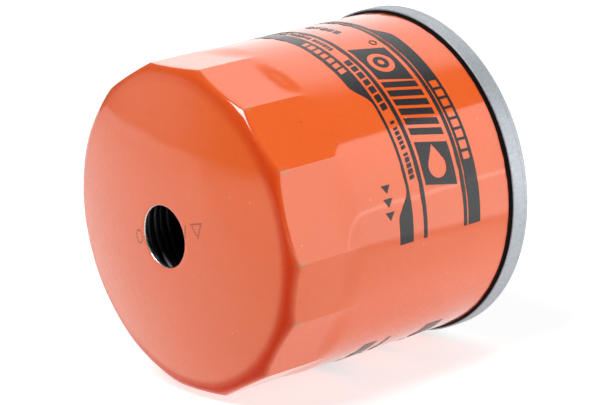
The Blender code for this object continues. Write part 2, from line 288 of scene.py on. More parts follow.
class Shader(Nodes):
    """A new material. Its patterns are in the object's own millimetres."""

    def __init__(self, name, **settings):
        self.material = bpy.data.materials.new(name)
        super().__init__(self.material)
        self.bsdf = self.tree.nodes["Principled BSDF"]
        for key, value in settings.items():
            self.bsdf.inputs[key.replace("_", " ")].default_value = value
        place = self.node("ShaderNodeTexCoord").outputs["Object"]
        scale = self.node("ShaderNodeVectorMath", operation="SCALE")
        self.tree.links.new(place, scale.inputs[0])
        scale.inputs["Scale"].default_value = 1 / MM
        self.place = scale.outputs[0]

    def set(self, name, value):
        self.feed(self.bsdf.inputs[name], value)

    def roughen(self, size, detail, low, high):
        """Roughness that drifts from low to high in soft patches."""
        self.set("Roughness", self.spread(self.noise(size, detail), 0.3, 0.7, low, high))

    def stretch(self, scale):
        made = self.node("ShaderNodeVectorMath", operation="MULTIPLY")
        self.feed(made.inputs[0], self.place)
        made.inputs[1].default_value = scale
        return made.outputs[0]

    def noise(self, size, detail=2.0, roughness=0.5, place=None):
        """Soft noise from 0 to 1 whose blobs are about size millimetres across."""
        made = self.node("ShaderNodeTexNoise")
        self.feed(made.inputs["Vector"], place or self.place)
        made.inputs["Scale"].default_value = 1 / size
        made.inputs["Detail"].default_value = detail
        made.inputs["Roughness"].default_value = roughness
        return made.outputs["Fac"]

    def cells(self, size):
        """Distance to the middle of the nearest of scattered cells, size millimetres apart."""
        made = self.node("ShaderNodeTexVoronoi")
        self.feed(made.inputs["Vector"], self.place)
        made.inputs["Scale"].default_value = 1 / size
        return made.outputs["Distance"]

    def mix(self, share, a, b):
        made = self.node("ShaderNodeMix", data_type="RGBA")
        colours = [s for s in made.inputs if s.type == "RGBA"]
        self.feed(made.inputs["Factor"], share)
        self.feed(colours[0], a)
        self.feed(colours[1], b)
        return [s for s in made.outputs if s.type == "RGBA"][0]

    def bump(self, height, distance, after=None):
        """Raises the surface by up to distance millimetres."""
        made = self.node("ShaderNodeBump")
        made.inputs["Distance"].default_value = distance * MM
        self.feed(made.inputs["Height"], height)
        if after:
            self.feed(made.inputs["Normal"], after)
        return made.outputs["Normal"]


def enamel():
    """Glossy orange enamel: faint orange peel, dust specks, a little wear where the flats meet, and
    painted shade in the shoulder crease and next to the seam.
    """
    s = Shader("orange_enamel", Roughness=0.3, Coat_Weight=1.0, Coat_Roughness=0.07, Coat_IOR=1.62)
    s.bsdf.inputs["Specular IOR Level"].default_value = 0.05
    broad = s.noise(24, 2)
    colour = s.mix(s.spread(broad, 0.3, 0.7), (0.69, 0.099, 0.013), (0.71, 0.110, 0.017))
    fine = s.noise(0.55, 3, 0.6)
    colour = s.mix(s.spread(fine, 0.35, 0.75, 0, 0.16), colour, (0.72, 0.075, 0.010))
    specks = s.spread(s.cells(2.3), 0.05, 0.075, 1, 0)
    bright = s.math("MULTIPLY", specks, s.spread(s.noise(3.1, 1), 0.56, 0.6))
    colour = s.mix(s.math("MULTIPLY", bright, 0.7), colour, (0.98, 0.5, 0.3))
    dark = s.math("MULTIPLY", specks, s.spread(s.noise(3.1, 1), 0.36, 0.40, 1, 0))
    colour = s.mix(s.math("MULTIPLY", dark, 0.8), colour, (0.12, 0.03, 0.01))
    # Painted shade: this mask darkens the enamel to a deep red and thins its clear coat, in the
    # shoulder crease, next to the seam and most on one side of the can.
    painted_shade = s.node("ShaderNodeAttribute", attribute_name="painted_shade").outputs["Fac"]
    colour = s.mix(s.math("MULTIPLY", painted_shade, 0.9), colour, (0.50, 0.022, 0.002))
    s.set("Coat Weight", s.spread(painted_shade, 0.2, 0.9, 1.0, 0.1))
    wear = s.node("ShaderNodeAttribute", attribute_name="wear").outputs["Fac"]
    scuffs = s.spread(s.noise(0.4, 4, 0.65), 0.44, 0.54)
    scuffs = s.math("MULTIPLY", scuffs, s.spread(wear, 0.2, 0.7))
    colour = s.mix(s.math("MULTIPLY", scuffs, 0.75), colour, (0.46, 0.19, 0.08))
    s.set("Base Color", colour)
    s.roughen(1.6, 3, 0.22, 0.34)
    peel = s.bump(s.noise(1.5, 2, 0.4), 0.0010)
    grain = s.bump(s.noise(0.22, 2), 0.0004, after=peel)
    dents = s.bump(s.noise(8, 1), 0.045)
    s.set("Normal", grain)
    s.feed(s.bsdf.inputs["Coat Normal"], s.bump(s.noise(1.5, 2, 0.4), 0.0010, after=dents))
    return s.material


def ink():
    """Black screen print over the enamel, with tiny pinholes and a slightly uneven film."""
    s = Shader("black_print", Roughness=0.4, Coat_Weight=0.3, Coat_Roughness=0.12)
    s.bsdf.inputs["Specular IOR Level"].default_value = 0.25
    holes = s.spread(s.cells(0.62), 0.09, 0.13, 1, 0)
    holes = s.math("MULTIPLY", holes, s.spread(s.noise(1.4, 2), 0.50, 0.56))
    film = s.mix(s.spread(s.noise(0.3, 3), 0.3, 0.7), (0.006, 0.006, 0.008), (0.020, 0.018, 0.020))
    s.set("Base Color", s.mix(s.math("MULTIPLY", holes, 0.5), film, (0.62, 0.10, 0.03)))
    s.roughen(0.7, 3, 0.3, 0.45)
    s.set("Normal", s.bump(s.noise(0.35, 3, 0.6), 0.004))
    return s.material


def bare_edge():
    """The freshly cut edge of the steel sheet."""
    s = Shader("cut_steel_edge", Metallic=1.0)
    s.set("Base Color", s.mix(s.noise(0.5, 3), (0.62, 0.61, 0.6), (0.9, 0.89, 0.87)))
    s.roughen(0.3, 2, 0.22, 0.4)
    s.set("Normal", s.bump(s.noise(0.18, 2), 0.006))
    return s.material


def plain_steel(name, dark, light, roughness=(0.3, 0.48), size=1.2, oil=0.0):
    """Pressed sheet steel with a rolled grain and faint stains."""
    s = Shader(name, Metallic=1.0, Coat_Weight=oil, Coat_Roughness=0.15)
    grain = s.noise(size, 4, 0.65, s.stretch((1.0, 1.0, 0.25)))
    stain = s.noise(7, 3, 0.6)
    colour = s.mix(s.spread(grain, 0.3, 0.7), dark, light)
    stained = tuple(0.6 * channel for channel in dark)
    s.set("Base Color", s.mix(s.spread(stain, 0.5, 0.75, 0, 0.35), colour, stained))
    s.roughen(2.5, 3, *roughness)
    s.set("Normal", s.bump(grain, 0.004))
    return s.material


def zinc():
    """Zinc-coated steel: small spangle, fine draw lines along the rim and dull patches."""
    s = Shader("zinc_coated_steel", Metallic=0.6)
    spangle = s.noise(0.5, 4, 0.7)
    draw = s.noise(0.35, 3, 0.6, s.stretch((0.12, 1.0, 0.12)))
    colour = s.mix(s.spread(spangle, 0.3, 0.7), (0.31, 0.34, 0.37), (0.46, 0.49, 0.52))
    colour = s.mix(s.spread(s.noise(5, 3), 0.45, 0.7, 0, 0.3), colour, (0.36, 0.38, 0.40))
    s.set("Base Color", colour)
    s.roughen(0.8, 4, 0.42, 0.56)
    s.set("Normal", s.bump(draw, 0.006, after=s.bump(spangle, 0.006)))
    return s.material


def rubber():
    """Moulded nitrile rubber with a fine matt grain and a bloom."""
    s = Shader("black_rubber", Specular_IOR_Level=0.4)
    bloom = s.noise(3, 4, 0.6)
    s.set("Base Color", s.mix(s.spread(bloom, 0.4, 0.75), (0.012, 0.012, 0.013), (0.04, 0.04, 0.042)))
    s.roughen(0.8, 3, 0.42, 0.62)
    s.set("Normal", s.bump(s.noise(0.2, 3), 0.01))
    return s.material


def sealant_and_gap_shadow(name, dark, light):
    """Cured sealing compound, matt and a little lumpy. Made nearly black, the same material is painted
    shadow for the seam's gap.
    """
    s = Shader(name)
    s.set("Base Color", s.mix(s.noise(0.6, 3), dark, light))
    s.roughen(0.9, 2, 0.55, 0.8)
    s.set("Normal", s.bump(s.noise(0.4, 3), 0.03))
    return s.material


def paper():
    """Resin-treated filter paper: fibres, and a fine embossed line pattern across the folds."""
    s = Shader("filter_paper", Sheen_Weight=0.3, Sheen_Roughness=0.5)
    fibres = s.noise(0.35, 5, 0.7, s.stretch((1.0, 0.3, 1.0)))
    colour = s.mix(s.spread(fibres, 0.3, 0.7), (0.50, 0.36, 0.15), (0.72, 0.58, 0.32))
    s.set("Base Color", s.mix(s.spread(s.noise(6, 2), 0.4, 0.7, 0, 0.4), colour, (0.44, 0.30, 0.12)))
    s.set("Roughness", s.spread(fibres, 0.3, 0.7, 0.8, 0.95))
    s.set("Normal", s.bump(fibres, 0.03))
    return s.material


def glue():
    """Cured plastisol, amber and slightly uneven."""
    s = Shader("end_adhesive", Subsurface_Weight=0.2, Subsurface_Scale=0.001)
    s.set("Base Color", s.mix(s.noise(2, 3), (0.34, 0.19, 0.06), (0.55, 0.36, 0.13)))
    s.roughen(1.1, 3, 0.35, 0.6)
    s.set("Normal", s.bump(s.noise(1.3, 3), 0.05))
    return s.material


ENAMEL = enamel()
PRINT = ink()
EDGE = bare_edge()
ZINC = zinc()
INSIDE = plain_steel("can_inside_steel", (0.22, 0.22, 0.23), (0.40, 0.40, 0.41))
STEEL = plain_steel("oiled_steel", (0.34, 0.34, 0.35), (0.44, 0.44, 0.45), oil=0.4)
# The seat ring's steel and the spring wire are nearly black: painted shade for the parts inside the can
# that show through the dome hole.
SHADED_STEEL = plain_steel("steel_in_painted_shade", (0.05, 0.05, 0.055), (0.12, 0.12, 0.13), (0.5, 0.65))
WIRE = plain_steel("spring_wire", (0.03, 0.03, 0.035), (0.09, 0.09, 0.10), (0.35, 0.5), 0.6)
RUBBER = rubber()
SEALANT = sealant_and_gap_shadow("seam_sealant", (0.10, 0.11, 0.12), (0.2, 0.21, 0.22))
# Nearly black: painted shadow for the gap between the can and the rolled seam.
GAP_SHADOW = sealant_and_gap_shadow("seam_gap_shadow", (0.002, 0.001, 0.001), (0.006, 0.002, 0.002))
GAP_SHADOW.node_tree.nodes["Principled BSDF"].inputs["Specular IOR Level"].default_value = 0.08
PAPER = paper()
GLUE = glue()


# ---------------------------------------------------------------- the can


def smooth(t):
    t = min(1.0, max(0.0, t))
    return t * t * (3 - 2 * t)


def corner_angles():
    """Where the flats meet. The press left a few of them a little off their even places."""
    nudged = {3: -3.6, 4: 2.0, 2: 0.6, 5: 0.8}
    even = [-360 / FLATS * 3 + 360 / FLATS * k for k in range(FLATS)]
    return [math.radians(even[k] + nudged.get(k, 0.0)) for k in range(FLATS)]


CORNERS = corner_angles()


def flat_radius(angle):
    """Distance from the axis to the fourteen-sided outline, with its corners rounded a little."""
    total = 0.0
    for k in range(FLATS):
        first, last = CORNERS[k], CORNERS[(k + 1) % FLATS]
        half = (last - first) % TAU / 2
        away = (angle - first - half + math.pi) % TAU - math.pi
        if abs(away) < 1.2:
            inside = CORNER_R * (1 - math.cos(half) / math.cos(away))
            total += math.exp(max(-600.0, inside / CORNER_SOFT))
    return CORNER_R - CORNER_SOFT * math.log(total)


def wall_radius(angle, depth):
    """The can's wall, round at the seam and flat-sided at the domed end."""
    share = smooth((depth - FLAT_END_Z) / (FLAT_FULL_Z - FLAT_END_Z))
    return CAN_R + (flat_radius(angle) - CAN_R) * share


SHOULDER_MID_R = SHOULDER_OUT_R - SHOULDER_R
DOME_Z = APEX_Z + (DOME_R - math.sqrt(DOME_R**2 - DOME_HOLE_R**2)) - DOME_R
SHOULDER_MID_Z = DOME_Z + math.sqrt((DOME_R - SHOULDER_R) ** 2 - SHOULDER_MID_R**2)
SHOULDER_LEAN = math.atan2(SHOULDER_MID_Z - DOME_Z, SHOULDER_MID_R)


def shoulder(lean, inset=0.0):
    """(radius, depth) on the rounded shoulder, where its surface leans that far from straight out."""
    reach = SHOULDER_R - inset
    return SHOULDER_MID_R + reach * math.cos(lean), SHOULDER_MID_Z + reach * math.sin(lean)


def dome_depth(radius, inset=0.0):
    """The dome's depth at a radius. inset moves it inward, through the sheet."""
    return DOME_Z + math.sqrt((DOME_R - inset) ** 2 - radius**2)


def can_column(angle):
    """One column round the sheet as (radius, depth, part, share of painted shade)."""
    corner = flat_radius(angle)
    lean = math.acos(min(1.0, (corner - SHOULDER_MID_R) / SHOULDER_R))
    edge_z = shoulder(lean)[1]
    start = node_span("canister")[0]
    column = []
    depths = [start, start + 0.6, 5.6, 6.0, 6.3, 6.7, 8, 14, 22, 30, 37, 41]
    depths += [FLAT_END_Z + (FLAT_FULL_Z - FLAT_END_Z) * i / 14 for i in range(15)]
    depths += [52, 55, 57.5, 59.3]
    for depth in depths:
        # Painted shade on the wall next to the seam's lip.
        column.append((wall_radius(angle, depth), depth, "enamel", 0.5 * smooth((6.6 - depth) / 0.5)))
    # Painted shade grows over the bend into the shoulder, peaks on it and fades out across the rim of
    # the dome.
    first = Vector((corner, edge_z - EDGE_SOFT))
    turn = Vector((corner, edge_z))
    past = lean + EDGE_SOFT / SHOULDER_R
    last = Vector(shoulder(past))
    for i in range(7):
        t = i / 6
        soft = first * (1 - t) ** 2 + turn * 2 * t * (1 - t) + last * t * t
        column.append((soft[0], soft[1], "enamel", SHADE_EDGE * t))
    for i in range(1, 11):
        radius, depth = shoulder(past + (SHOULDER_LEAN - past) * i / 10)
        shade_share = SHADE_EDGE + (1 - SHADE_EDGE) * math.sin(math.pi * i / 13)
        column.append((radius, depth, "enamel", shade_share))
    dome_start = column[-1][0]
    lip = DOME_HOLE_R + 0.28
    dome_radii = [dome_start - 0.3 * i for i in range(1, 8)]
    dome_radii += [dome_radii[-1] + (lip - dome_radii[-1]) * i / 28 for i in range(1, 29)]
    for radius in dome_radii:
        shade_share = SHADE_DOME * (1 - smooth((dome_start - radius) / 2.0))
        column.append((radius, dome_depth(radius), "enamel", shade_share))
    column.append((DOME_HOLE_R + 0.12, dome_depth(lip) - 0.05, "edge", 0.0))
    column.append((DOME_HOLE_R + 0.03, dome_depth(lip) - 0.14, "edge", 0.0))
    column.append((DOME_HOLE_R, dome_depth(lip) - 0.3, "edge", 0.0))
    for i in range(13):
        radius = DOME_HOLE_R + (shoulder(SHOULDER_LEAN, SHEET)[0] - DOME_HOLE_R) * i / 12
        column.append((radius, dome_depth(radius, SHEET), "inside", 0.0))
    inner = math.acos((corner - SHEET - SHOULDER_MID_R) / (SHOULDER_R - SHEET))
    for i in range(1, 7):
        radius, depth = shoulder(SHOULDER_LEAN + (inner - SHOULDER_LEAN) * i / 6, SHEET)
        column.append((radius, depth, "inside", 0.0))
    for depth in (56, 52, FLAT_FULL_Z, FLAT_FULL_Z - 2, FLAT_FULL_Z - 4, FLAT_END_Z, 30, 16, start):
        column.append((wall_radius(angle, depth) - SHEET, depth, "inside", 0.0))
    return column


def can():
    """The canister: enamel outside, a bare cut edge round the hole, plain steel inside, with per-vertex
    wear and painted shade.
    """
    halfway = (0.004, 0.009, 0.016, 0.03, 0.06, 0.12, 0.24)  # closest where the flats meet
    shares = (0, *halfway, 0.5, *(1 - share for share in reversed(halfway)))
    columns, wear, painted_shade = [], [], []
    for k in range(FLATS):
        width = (CORNERS[(k + 1) % FLATS] - CORNERS[k]) % TAU
        for share in shares:
            angle = CORNERS[k] + share * width
            rows = can_column(angle)
            columns.append([point(r, angle, z) for r, z, _, _ in rows])
            near = max(0.0, 1 - min(share, 1 - share) / 0.09)
            # Painted shade, strongest on one side of the can and weakest on the opposite side.
            side_shade = 0.15 + 0.85 * math.cos((angle - SHADE_SIDE) / 2) ** 2
            for r, z, part, shade_share in rows:
                high = math.exp(-(((z - 60.0) / 1.4) ** 2))
                wear.append(near * high if part == "enamel" else 0.0)
                painted_shade.append(shade_share * side_shade)
    parts = [part for _, _, part, _ in can_column(0)]
    numbers = {"enamel": 0, "edge": 1, "inside": 2}
    mesh = loft("can_shell", columns, [numbers[part] for part in parts])
    for name, values in (("wear", wear), ("painted_shade", painted_shade)):
        mesh.attributes.new(name, "FLOAT", "POINT").data.foreach_set("value", values)
    stand_in("can_shell", "canister", mesh, [ENAMEL, EDGE, INSIDE], sharp=50)


# ---------------------------------------------------------------- the print


ARC = CAN_R * TAU / 360  # millimetres round the can for each degree


def bend(start, end, steps=8):
    """Points of a soft S from one (degrees, depth) to another, flat at both ends."""
    points = []
    for i in range(steps + 1):
        t = i / steps
        points.append((start[0] + (end[0] - start[0]) * t, start[1] + (end[1] - start[1]) * smooth(t)))
    return points


def blob(angle, depth, width, height, corner=0.18, lean=0.0):
    """A rounded rectangle, width mm round the can and height mm along it."""
    points = []
    for cx, cy, start in ((1, 1, 0), (-1, 1, 90), (-1, -1, 180), (1, -1, 270)):
        for i in range(4):
            a = math.radians(start + 30 * i)
            x = cx * (width / 2 - corner) + corner * math.cos(a)
            y = cy * (height / 2 - corner) + corner * math.sin(a)
            points.append((angle + (x + lean * y) / ARC, depth + y))
    return points


def disc(angle, depth, radius, steps=28):
    turns = [TAU * i / steps for i in range(steps)]
    return [(angle + radius * math.cos(a) / ARC, depth + radius * math.sin(a)) for a in turns]


def slanted(low, high, depth_low, depth_high, lean):
    """A block whose ends lean by that many degrees from its deep side to its shallow side."""
    return [(low, depth_low), (high, depth_low), (high + lean, depth_high), (low + lean, depth_high)]


def droplet(angle, depth, radius):
    """An oil drop that points along the print."""
    points = []
    for i in range(25):
        a = math.radians(-130 + 260 * i / 24)
        points.append((angle - radius * math.cos(a) / ARC, depth + radius * math.sin(a)))
    tip = [(angle + 1.9 * radius / ARC, depth)]
    return points + tip


def dashes(rng, start, end, depth, height, widths, gap, word_gap, word, lean=0.0):
    """A row of short marks in groups, like a line of print seen from far off."""
    marks = []
    place, count = start, 0
    while place < end:
        width = rng.uniform(*widths)
        marks.append(blob(place + width / 2 / ARC, depth, width, height, 0.12, lean))
        count += 1
        place += (width + (word_gap if count % word == 0 else gap)) / ARC
    return marks


def print_loops():
    """The closed outlines of one print, as (degrees, depth behind the seam's face)."""
    low, high = PRINT_SPAN
    rng = random.Random(5)
    loops = []
    # The band nearest the wrench end: a thick start, a thin run and a long thick upper part.
    inner, thin, outer = 30.65, 31.27, 34.15
    loops.append(
        [(low, inner), (high, inner), (high, outer)]
        + bend((43.0, outer), (34.2, thin))
        + bend((2.6, thin), (-6.4, outer))
        + [(low, outer)]
    )
    loops += dashes(rng, 49.0, 68.5, 32.3, 1.9, (1.1, 1.5), 0.45, 0.45, 9, -0.25)
    # The line beside it, and the row of small marks between them.
    loops.append([(low, 26.95), (high, 26.95), (high, 27.9), (low, 27.9)])
    loops += dashes(rng, 6.0, 27.0, 29.2, 1.15, (0.5, 1.0), 0.28, 0.8, 5, -0.2)
    loops += dashes(rng, 31.0, 53.0, 29.2, 1.55, (1.3, 1.7), 0.5, 0.5, 9, -0.2)
    loops += dashes(rng, 62.0, 96.0, 29.2, 1.15, (0.5, 1.0), 0.28, 0.8, 6, -0.2)
    # The bold ornament: a block with a drop, a run of bars and a block with a ring.
    deep, shallow, lean = 26.2, 18.15, -2.6
    loops.append(slanted(2.8, 17.6, deep, shallow, lean))
    loops.append(droplet(7.9, 22.2, 2.35))
    for i in range(6):
        begin = 20.2 + 3.75 * i
        loops.append(slanted(begin, begin + 2.45, deep, shallow, lean))
    loops.append(slanted(42.8, 59.6, deep, shallow, lean - 0.6))
    loops.append(disc(49.8, 22.2, 2.9))
    loops.append(disc(49.8, 22.2, 1.7))
    loops.append(disc(49.8, 22.2, 0.75))
    loops.append(disc(60.6, 19.0, 0.85))
    loops.append(disc(60.6, 19.0, 0.6))
    loops += dashes(rng, 72.0, 88.0, 22.0, 1.6, (1.4, 2.0), 0.5, 0.5, 9, -0.3)
    # The thin line and the band at the seam's side, thick up to its upper taper.
    loops.append([(low, 16.25), (high, 16.25), (high, 17.15), (low, 17.15)])
    wide, narrow, top = 12.7, 15.15, 15.9
    loops.append(
        [(low, top), (low, wide)]
        + bend((61.5, wide), (70.5, narrow))
        + bend((105.0, narrow), (112.0, wide))
        + [(high, wide), (high, top)]
    )
    loops += dashes(rng, 7.5, 38.0, 14.3, 1.9, (1.5, 1.9), 0.55, 0.55, 20)
    # Three small arrow heads.
    for i in range(3):
        base = 6.35 - 4.54 * i
        loops.append([(base, 37.4), (base - 2.8, 36.3), (base, 35.2)])
    return loops


def flat_sheet(loops):
    """The outlines filled, with the inner ones as holes, in flat millimetres."""
    curve = bpy.data.curves.new("outlines", "CURVE")
    curve.dimensions = "2D"
    curve.fill_mode = "BOTH"
    for loop in loops:
        spline = curve.splines.new("POLY")
        spline.points.add(len(loop) - 1)
        for place, (angle, depth) in zip(spline.points, loop):
            place.co = (angle * ARC, depth, 0, 1)
        spline.use_cyclic_u = True
    carrier = bpy.data.objects.new("outlines", curve)
    bpy.context.scene.collection.objects.link(carrier)
    bpy.context.view_layer.update()
    found = carrier.evaluated_get(bpy.context.evaluated_depsgraph_get())
    mesh = bpy.data.meshes.new_from_object(found)
    bpy.data.objects.remove(carrier)
    bpy.data.curves.remove(curve)
    return mesh


def wrap(name, sheet, turn):
    """The flat sheet cut into narrow strips, laid round the can and given the ink's thickness."""
    shape = bmesh.new()
    shape.from_mesh(sheet)
    bmesh.ops.remove_doubles(shape, verts=shape.verts, dist=0.0005)
    first = min(v.co.x for v in shape.verts)
    last = max(v.co.x for v in shape.verts)
    step = 1.5 * ARC
    for i in range(1, int((last - first) / step) + 1):
        everything = shape.verts[:] + shape.edges[:] + shape.faces[:]
        place = (first + i * step, 0, 0)
        bmesh.ops.bisect_plane(shape, geom=everything, plane_co=place, plane_no=(1, 0, 0), dist=1e-5)
    grown = bmesh.ops.extrude_face_region(shape, geom=shape.faces[:])
    raised = {part for part in grown["geom"] if isinstance(part, bmesh.types.BMVert)}
    for vert in shape.verts:
        radius = CAN_R + 0.004 + (INK if vert in raised else 0)
        angle = math.radians(vert.co.x / ARC + turn)
        vert.co = point(radius, angle, vert.co.y + SEAM_Z)
    return mesh_from(name, shape)


def prints():
    sheet = flat_sheet(print_loops())
    for number, turn in ((1, PRINT_TURN), (2, PRINT_TURN - 180)):
        name = f"side_print_{number}"
        made = add_object(name, wrap(name, sheet, turn), PRINT, sharp=30)
    bpy.data.meshes.remove(sheet)


def dome_marks():
    """Inked dots beside the hole: a small oval, an upright row and a triangle that spell nothing."""
    dots, dot_r = [], 0.16
    for i in range(11):
        turn = TAU * i / 11
        dots.append((-8.0 + 1.0 * math.cos(turn), -1.1 + 1.3 * math.sin(turn)))
    dots += [(6.6 + 0.06 * i, 0.8 + 0.55 * i) for i in range(5)]
    corners = [(8.5, 3.6), (11.3, 4.1), (10.2, 1.3)]
    for (x1, z1), (x2, z2) in zip(corners, corners[1:] + corners[:1]):
        dots += [(x1 + (x2 - x1) * i / 5, z1 + (z2 - z1) * i / 5) for i in range(5)]
    shape = bmesh.new()
    for x, z in dots:
        middle = Vector((x, -dome_depth(math.hypot(x, z)) - 0.004, z))
        rim = []
        for i in range(10):
            a = TAU * i / 10
            rim.append(shape.verts.new((middle + dot_r * Vector((math.cos(a), 0, math.sin(a)))) * MM))
        face = shape.faces.new(rim)
        grown = bmesh.ops.extrude_face_region(shape, geom=[face])
        tops = [part for part in grown["geom"] if isinstance(part, bmesh.types.BMVert)]
        bmesh.ops.translate(shape, verts=tops, vec=(0, -INK * MM, 0))
    made = add_object("dome_ink_dots", mesh_from("dome_ink_dots", shape), PRINT)


# ---------------------------------------------------------------- the base


def lid():
    """The rolled seam, gasket groove and inner flange, with soft bends as a press leaves them."""
    t = SHEET
    flange, hole_r = 2.4, 24.0
    face = node_span("seam_lid")[0]
    floor = node_span("gasket")[1] + 0.3
    groove_out, groove_in = GASKET_OUT_R + 0.3, GASKET_OUT_R - 4.3
    inner = CAN_R - SHEET - 0.3
    outline = [
        (SEAM_R - 0.42, SEAM_LIP_Z, 0.12), (SEAM_R - 0.05, SEAM_LIP_Z, 0.5),
        (SEAM_R, face + 1.25, 0.05), (SEAM_R - 0.07, face + 1.1, 0.05),
        (SEAM_R, face + 0.95, 0.05), (SEAM_R, face, 0.85),
        (groove_out, face, 0.5), (groove_out, floor, 0.5),
        (groove_in, floor, 0.5), (groove_in, flange, 0.6),
        (hole_r, flange, 0.15), (hole_r, flange + t, 0.15),
        (groove_in - t, flange + t, 0.2), (groove_in - t, floor + t, 0.4),
        (inner, floor + t, 0.3), (inner, face + t, 0.2),
        (SEAM_R - 0.45, face + t, 0.2),
    ]
    mesh = turned("rolled_seam_lid", outline, 288)
    stand_in("rolled_seam_lid", "seam_lid", mesh, ZINC, sharp=40)


def seam_gap_shadow():
    """A nearly black ring between the can and the rolled lip: painted shadow in the seam's gap."""
    inner, outer, lip = CAN_R - 0.2, 33.54, SEAM_LIP_Z
    outline = [
        (inner, lip - 1.2), (outer, lip - 1.2),
        (outer, lip - 0.15), (outer - 0.18, lip + 0.45),
        (CAN_R + 0.02, lip + 0.8), (inner, lip + 0.8),
    ]
    made = add_object("seam_gap_shadow_ring", turned("seam_gap_shadow_ring", outline, 288), GAP_SHADOW)


def sealing_ring():
    """The gasket: a square ring with softened edges and a shallow groove in its sealing face."""
    back = node_span("gasket")[1]
    outer, inner = GASKET_OUT_R, GASKET_OUT_R - 4.0
    middle = (outer + inner) / 2
    outline = [
        (outer, back, 0.3), (outer, 0, 0.7),
        (middle + 0.5, 0, 0.2), (middle, 0.25, 0.2),
        (middle - 0.5, 0, 0.2), (inner, 0, 0.7),
        (inner, back, 0.3),
    ]
    mesh = turned("sealing_gasket", outline, 192)
    stand_in("sealing_gasket", "gasket", mesh, RUBBER)


def plate():
    """The tapping plate, with a rolled M20 x 1.5 thread in its collar and eight inlet holes."""
    collar_r, high = 12.0, 6.25
    minor, major, pitch = 9.19, 9.99, 1.5
    inlets, inlet_r, circle_r = 8, 3.0, 18.2
    steps, levels = 120, 96
    outside = filleted([
        (collar_r, COLLAR_TOP, 0.4),
        (collar_r, high, 1.0),
        (PLATE_R, high, 0.2),
        (PLATE_R, PLATE_LOW, 0.3),
        (major + 0.9, PLATE_LOW, 0.5),
    ])
    columns = []
    for i in range(steps):
        angle = TAU * i / steps
        column = [point(r, angle, z) for r, z in outside]
        for level in range(levels + 1):
            depth = PLATE_LOW + (COLLAR_TOP - PLATE_LOW) * level / levels
            phase = (depth / pitch - i / steps) % 1.0
            groove = min(1.0, max(0.0, 1.35 - abs(phase - 0.5) * 3.4))
            radius = minor + (major - minor) * groove
            mouth = max(0.0, 0.9 - (depth - PLATE_LOW)) + max(0.0, 0.6 - (COLLAR_TOP - depth))
            column.append(point(max(radius, minor + mouth), angle, depth))
        columns.append(column)
    mesh = loft("threaded_plate", columns)
    mouth_r = inlet_r + 0.5
    outline = [(0, 2), (mouth_r, 2), (mouth_r, 3), (inlet_r, 3.6), (inlet_r, 8), (0, 8)]
    drills = []
    for i in range(inlets):
        drill = turned("inlet", outline, 40)
        drill.transform(Matrix.Translation(point(circle_r, TAU * i / inlets, 0)))
        drills.append(drill)
    mesh = carve(mesh, joined("inlets", drills))
    stand_in("threaded_plate", "tapping_plate", mesh, STEEL, sharp=40)


def weld_marks():
    """Small spot welds that hold the lid to the tapping plate."""
    welds, steps = 8, 20
    shape = bmesh.new()
    for i in range(welds):
        middle = point(25.2, TAU * (i + 0.5) / welds, 2.42)
        rows = []
        for ring_r, rise in ((0.85, 0.0), (0.7, 0.1), (0.5, 0.06), (0.25, 0.03)):
            row = []
            for j in range(steps):
                a = TAU * j / steps
                away = Vector((ring_r * math.cos(a), rise, ring_r * math.sin(a)))
                row.append(shape.verts.new(middle + away * MM))
            rows.append(row)
        skin(shape, rows)
    made = add_object("lid_spot_welds", mesh_from("lid_spot_welds", shape), INSIDE)


# ---------------------------------------------------------------- inside


def drainback_valve():
    """The rubber valve: a sleeve round the collar, and a thin flap with two ribs over the inlets."""
    low, top, outer = node_span("anti_drainback_valve")
    bore = 12.3
    outline = [
        (13.6, top, 0.4), (13.6, low + 2.4, 1.2),
        (15.4, low + 1.2, 0.8), (17.6, low + 1.06, 0.3),
        (18.0, low + 1.35, 0.25), (18.4, low + 1.02, 0.3),
        (20.6, low + 0.9, 0.3), (21.0, low + 1.2, 0.25),
        (21.4, low + 0.86, 0.3), (outer, low + 0.62, 0.25),
        (outer, low, 0.15), (bore, low, 0.3),
        (bore, top, 0.3),
    ]
    mesh = turned("flap_valve", outline, 144)
    stand_in("flap_valve", "anti_drainback_valve", mesh, RUBBER, "drainback_valve")


def ring(name, node, inner, softs, steps, material, slot, body="housing"):
    """A plain ring whose top edges are rounded by softs, the outer one and the inner one."""
    low, top, outer = node_span(node)
    outline = [(outer, low, 0.2), (outer, top, softs[0]), (inner, top, softs[1]), (inner, low, 0.2)]
    stand_in(name, node, turned(name, outline, steps), material, body)


def end_cap(name, node, hole, face, side):
    """A pressed end disc with a stiffening ring, a raised seat round its hole and a curled flange."""
    t, outer = 0.5, node_span(node)[2]
    profile = [
        (hole, 0, 0.1), (hole + 2.6, 0, 0.3),
        (hole + 3.0, 0.12, 0.3), (21.6, 0.12, 0.4),
        (22.2, 0, 0.4), (24.4, 0, 0.4),
        (25.0, 0.12, 0.4), (28.4, 0.12, 0.4),
        (28.9, 0, 0.3), (outer, 0, 0.6),
        (outer, 3.0, 0.12), (outer - t, 3.0, 0.12),
        (outer - t, t, 0.3), (hole, t, 0.1),
    ]
    outline = [(r, face + side * z, soft) for r, z, soft in profile]
    stand_in(name, node, turned(name, outline, 160), STEEL, "element")


def glue_bed(name, node):
    """The adhesive that the paper stands in, with a small wave along its edges."""
    low, top, outer = node_span(node)
    steps = 216
    columns = []
    for i in range(steps):
        angle = TAU * i / steps
        wave = 0.06 * math.cos(36 * angle) + 0.03 * math.cos(7 * angle + 1)
        section = filleted([
            (12.1, low, 0.1), (outer - 0.1 + wave, low, 0.3),
            (outer - 0.1 + wave, top, 0.3), (12.1, top, 0.1),
        ])
        columns.append([point(r, angle, z) for r, z in section])
    stand_in(name, node, loft(name, columns), GLUE, "element")


